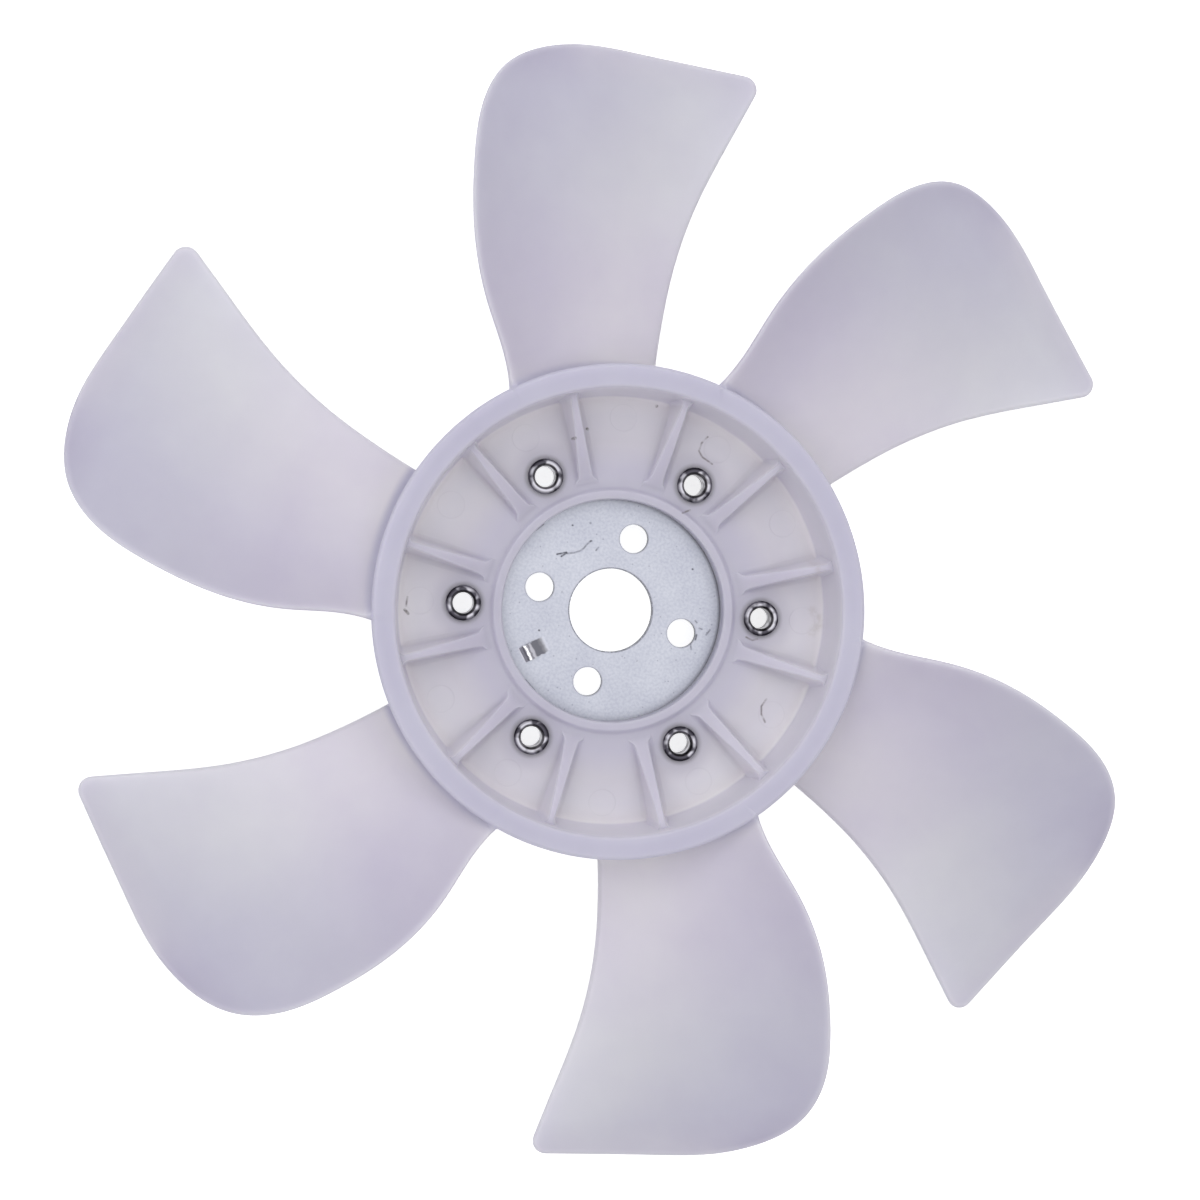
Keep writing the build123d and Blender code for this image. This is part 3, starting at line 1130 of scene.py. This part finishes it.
# Steel rolled over a punch. Rings of painted highlight and painted shade by distance from the rivet's
# axis stand for the light on the bead: light along the top of the bead, dark in the mouth and in the
# groove round the outside, and broken into patches about the crown. The bore and tail below the crown
# are plain pale steel.
crown_painted_sheen = (
    # distance from the rivet's own axis, colour of painted highlight and shade
    (3.1, "#B9B8BE"),
    (3.25, "#959295"),
    (3.6, "#A5A2A5"),
    (3.9, "#A19FA6"),
    (4.1, "#A3A2AA"),
    (4.35, "#9C9BA3"),
    (4.6, "#807E85"),
    (4.9, "#84828A"),
    (5.25, "#8C8A92"),
)
bore_colour, crown_z, sheen_patch_mm = "#C9C8CE", (5.2, 5.8), 2.6

rolled_steel, tree = new_material("rolled_steel")
place, _, _ = place_on_part(tree)
rivet_gap = gap_to_pattern(tree, rivet_count, rivet_angle, rivet_pitch_r)
tint = colours_along(tree, rivet_gap, crown_painted_sheen)
height = add_node(tree, "ShaderNodeSeparateXYZ", {0: place}).outputs["Z"]
on_crown = add_node(
    tree,
    "ShaderNodeMapRange",
    {"Value": height, "From Min": crown_z[0] / 1000, "From Max": crown_z[1] / 1000},
)
tint = add_node(
    tree, "ShaderNodeMix", {"Factor": on_crown, 6: srgb(bore_colour), 7: tint}, data_type="RGBA"
)
# Patches that break up the painted highlight and shade on the rivet.
sheen_patches = add_node(tree, "ShaderNodeTexNoise", {"Vector": place, "Scale": 1000 / sheen_patch_mm, "Detail": 1.0})
sheen_patches = add_node(tree, "ShaderNodeValToRGB", {"Fac": sheen_patches}, ((0.42, "#66646A"), (0.6, "#FFFFFF")))
tint = add_node(
    tree, "ShaderNodeMix", {"Factor": 1.0, 6: tint, 7: sheen_patches}, data_type="RGBA", blend_type="MULTIPLY"
)
skin = add_node(
    tree, "ShaderNodeBsdfPrincipled", {"Base Color": tint, "Metallic": 1.0, "Roughness": 0.3}
)
add_node(tree, "ShaderNodeOutputMaterial", {"Surface": skin})
rivets_mesh.materials.append(rolled_steel)

# Studio
# The fan lies on a plain white floor under one wide, soft lamp and an even sky. Floor and sky show
# white to the camera and to what mirrors them, and the floor keeps the fan's shadow.

floor_half, floor_colour, floor_glow = 2500.0, "#E7E7E7", 0.75
sky_light, white = 0.48, srgb("#FFFFFF")
lamp_place, lamp_width, lamp_power = Vector((-250, 250, 1500)), 2500, 21
floor_corners = ((-1, -1), (1, -1), (1, 1), (-1, 1))
floor_points = [(x * floor_half, y * floor_half, drum_bottom_z) for x, y in floor_corners]
floor_mesh = solid_mesh("floor", floor_points, [(0, 1, 2, 3)])
floor = shown("floor", floor_mesh)


def seen_directly(tree):
    """1 for what the camera sees, mirrored or seen through something too, and 0 for other light."""
    ray = add_node(tree, "ShaderNodeLightPath").outputs
    seen = ray["Is Camera Ray"]
    for kind in ("Is Glossy Ray", "Is Transmission Ray"):
        seen = add_node(tree, "ShaderNodeMath", {0: seen, 1: ray[kind]}, operation="MAXIMUM")
    return seen


white_floor, tree = new_material("white_studio_floor")
matt = add_node(tree, "ShaderNodeBsdfDiffuse", {"Color": srgb(floor_colour)})
glow = add_node(tree, "ShaderNodeMath", {0: seen_directly(tree), 1: floor_glow}, operation="MULTIPLY")
glow = add_node(tree, "ShaderNodeEmission", {"Color": white, "Strength": glow})
both = add_node(tree, "ShaderNodeAddShader", {0: matt, 1: glow})
add_node(tree, "ShaderNodeOutputMaterial", {"Surface": both})
floor_mesh.materials.append(white_floor)

world = bpy.data.worlds.new("pale_studio")
world.use_nodes = True
world.node_tree.nodes.clear()
tree = world.node_tree
strength = add_node(tree, "ShaderNodeMapRange", {"Value": seen_directly(tree), "To Min": sky_light})
sky = add_node(tree, "ShaderNodeBackground", {"Color": white, "Strength": strength})
add_node(tree, "ShaderNodeOutputWorld", {"Surface": sky})
bpy.context.scene.world = world
bpy.context.scene.view_settings.view_transform = "Standard"

softbox = bpy.data.lights.new("overhead_softbox", "AREA")
softbox.size, softbox.energy = lamp_width / 1000, lamp_power
lamp = bpy.data.objects.new("overhead_softbox", softbox)
lamp.location = lamp_place / 1000
lamp.rotation_euler = (-lamp.location).to_track_quat("-Z", "Y").to_euler()
bpy.context.scene.collection.objects.link(lamp)

# Camera
# The photograph looks almost straight down the axis into the open hub, from 0.8 m away.

view_tilt = (-2.125, -7.368, 18.21)
camera_offset = Vector((7.573, -6.550, 800.0))
sensor_width = 36.0
photo_px, focal_px, shift_px = 1200, 2665.6, (-36, 32)

camera_data = bpy.data.cameras.new("photo_camera")
camera_data.sensor_width = sensor_width
camera_data.lens = sensor_width * focal_px / photo_px
camera_data.shift_x, camera_data.shift_y = shift_px[0] / photo_px, shift_px[1] / photo_px
camera = bpy.data.objects.new("photo_camera", camera_data)
camera.rotation_euler = Euler([math.radians(angle) for angle in view_tilt], "XYZ")
camera.location = camera.rotation_euler.to_matrix() @ camera_offset / 1000
bpy.context.scene.collection.objects.link(camera)
bpy.context.scene.camera = camera
